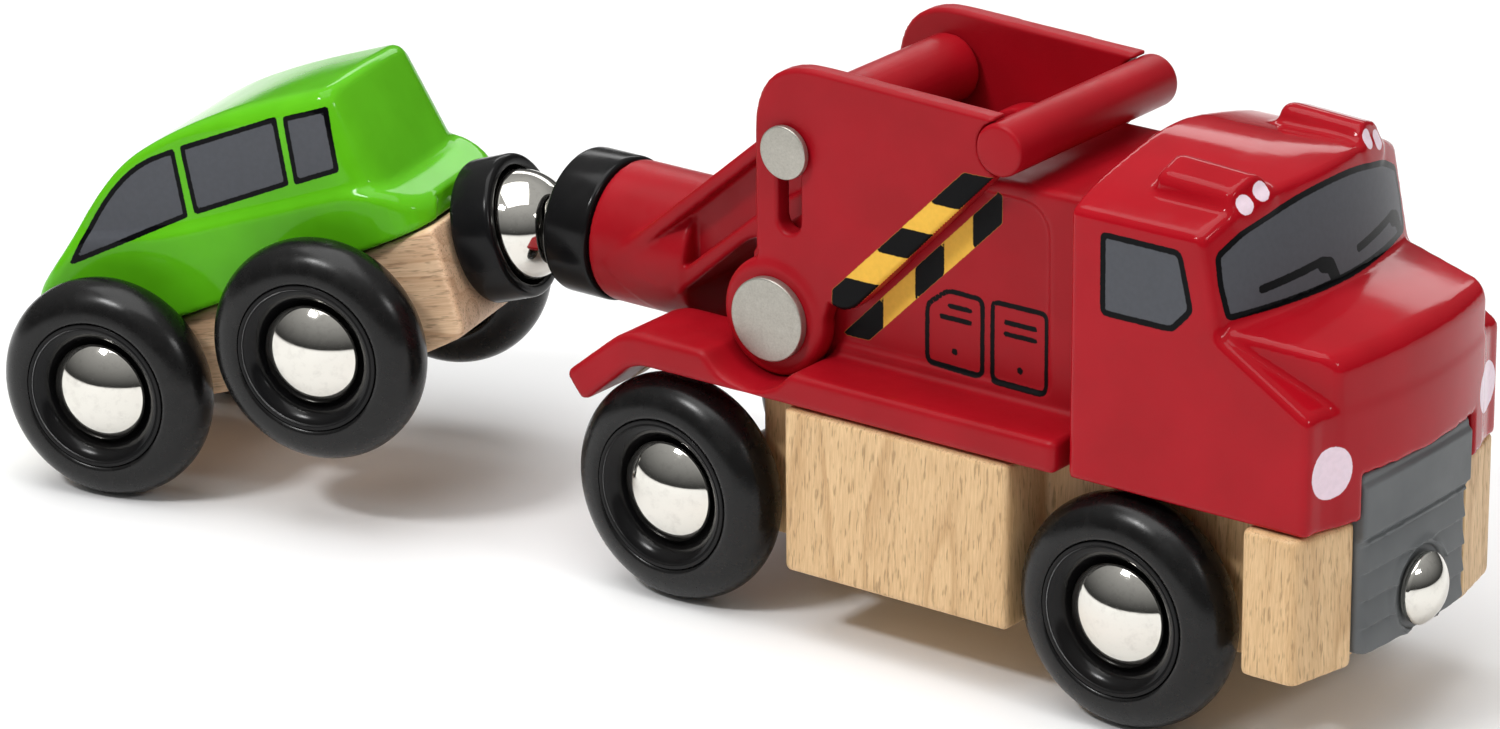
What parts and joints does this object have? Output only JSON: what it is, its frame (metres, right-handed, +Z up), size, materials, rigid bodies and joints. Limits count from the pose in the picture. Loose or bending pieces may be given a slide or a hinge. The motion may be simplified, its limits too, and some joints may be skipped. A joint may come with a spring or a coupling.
{
  "type": "toy tow truck",
  "caption": "Toy tow truck with a wooden chassis, moulded cab and winch box, lever-raised boom with a magnetic end, and a small car towed on its ball coupling.",
  "frame": {"origin": "centre of the bounding box at its base, on the road", "axes": "+X towards the truck's front, +Y to the truck's left, +Z up"},
  "size_m": [0.18, 0.0578, 0.0637],
  "materials": {
    "beech": "clear-lacquered pale beech with fine flecks",
    "gloss_red": "polished dark red moulding",
    "satin_red": "satin dark red moulding with a fine texture",
    "gloss_green": "polished grass-green moulding",
    "black_rubber": "smooth satin black tyre",
    "black_plastic": "glossy black moulding",
    "grey_plastic": "satin mid-grey moulding",
    "chrome": "polished chrome plate",
    "steel": "dull zinc-plated steel"
  },
  "bodies": {
    "truck": {"chassis_block": "beech", "front_grille": "grey_plastic", "front_coupling_dome": "chrome", "cab_shell": "gloss_red", "rear_body": "satin_red", "body_screw": "steel", "cab_screw": "steel", "rear_axle": "steel", "front_axle": "steel", "rear_right_cap": "chrome", "rear_left_cap": "chrome", "front_right_cap": "chrome", "front_left_cap": "chrome", "boom_pivot_pin": "steel", "right_lower_pin": "steel", "left_lower_pin": "steel"},
    "lift_frame": {"right_lift_plate": "satin_red", "left_lift_plate": "satin_red", "handle_bar": "satin_red"},
    "boom": {"boom_arm": "satin_red", "boom_cap_ring": "black_plastic", "boom_magnet": "chrome", "lift_pin": "steel"},
    "tow_ball": {"tow_ball": "chrome"},
    "towed_car": {"car_shell": "gloss_green", "car_chassis": "beech", "tow_ring": "black_plastic", "car_front_axle": "steel", "car_rear_axle": "steel", "car_front_right_cap": "chrome", "car_front_left_cap": "chrome", "car_rear_right_cap": "chrome", "car_rear_left_cap": "chrome"},
    "rear_right_wheel": {"rear_right_tyre": "black_rubber", "rear_right_hub": "black_plastic"},
    "rear_left_wheel": {"rear_left_tyre": "black_rubber", "rear_left_hub": "black_plastic"},
    "front_right_wheel": {"front_right_tyre": "black_rubber", "front_right_hub": "black_plastic"},
    "front_left_wheel": {"front_left_tyre": "black_rubber", "front_left_hub": "black_plastic"},
    "car_front_right_wheel": {"car_front_right_tyre": "black_rubber", "car_front_right_hub": "black_plastic"},
    "car_front_left_wheel": {"car_front_left_tyre": "black_rubber", "car_front_left_hub": "black_plastic"},
    "car_rear_right_wheel": {"car_rear_right_tyre": "black_rubber", "car_rear_right_hub": "black_plastic"},
    "car_rear_left_wheel": {"car_rear_left_tyre": "black_rubber", "car_rear_left_hub": "black_plastic"}
  },
  "joints": [
    {"name": "rear_right_wheel_spin", "type": "hinge", "parent": "truck", "child": "rear_right_wheel", "pos_m": [0.00237, -0.00894, 0.013], "axis": [0, 1, 0], "continuous": true},
    {"name": "rear_left_wheel_spin", "type": "hinge", "parent": "truck", "child": "rear_left_wheel", "pos_m": [0.00237, 0.02426, 0.013], "axis": [0, 1, 0], "continuous": true},
    {"name": "front_right_wheel_spin", "type": "hinge", "parent": "truck", "child": "front_right_wheel", "pos_m": [0.06187, -0.00894, 0.013], "axis": [0, 1, 0], "continuous": true},
    {"name": "front_left_wheel_spin", "type": "hinge", "parent": "truck", "child": "front_left_wheel", "pos_m": [0.06187, 0.02426, 0.013], "axis": [0, 1, 0], "continuous": true},
    {"name": "lift_hinge", "type": "hinge", "parent": "truck", "child": "lift_frame", "pos_m": [0.01367, 0.00766, 0.0346], "axis": [0, -1, 0], "range_deg": [0, 11.6]},
    {"name": "boom_hinge", "type": "hinge", "parent": "truck", "child": "boom", "pos_m": [0.03637, 0.00766, 0.038], "axis": [0, -1, 0], "range_deg": [0, 12.35]},
    {"name": "car_swivel", "type": "hinge", "parent": "boom", "child": "tow_ball", "pos_m": [-0.03003, 0.00356, 0.03305], "axis": [0, 0, 1], "range_deg": [-43.7, 16.3]},
    {"name": "car_tilt", "type": "hinge", "parent": "tow_ball", "child": "towed_car", "pos_m": [-0.03003, 0.00356, 0.03305], "axis": [-0.2368, 0.9715, 0], "range_deg": [0, 29.4]},
    {"name": "car_front_right_wheel_spin", "type": "hinge", "parent": "towed_car", "child": "car_front_right_wheel", "pos_m": [-0.06949, -0.02314, 0.013], "axis": [-0.2368, 0.9715, 0], "continuous": true},
    {"name": "car_front_left_wheel_spin", "type": "hinge", "parent": "towed_car", "child": "car_front_left_wheel", "pos_m": [-0.07735, 0.00911, 0.013], "axis": [-0.2368, 0.9715, 0], "continuous": true},
    {"name": "car_rear_right_wheel_spin", "type": "hinge", "parent": "towed_car", "child": "car_rear_right_wheel", "pos_m": [-0.04286, -0.01665, 0.02151], "axis": [-0.2368, 0.9715, 0], "continuous": true},
    {"name": "car_rear_left_wheel_spin", "type": "hinge", "parent": "towed_car", "child": "car_rear_left_wheel", "pos_m": [-0.05072, 0.0156, 0.02151], "axis": [-0.2368, 0.9715, 0], "continuous": true}
  ],
  "couplings": [
    {"joint": "boom_hinge", "follows": "lift_hinge", "ratio": 1.06},
    {"joint": "car_tilt", "follows": "lift_hinge", "ratio": 2.53}
  ]
}
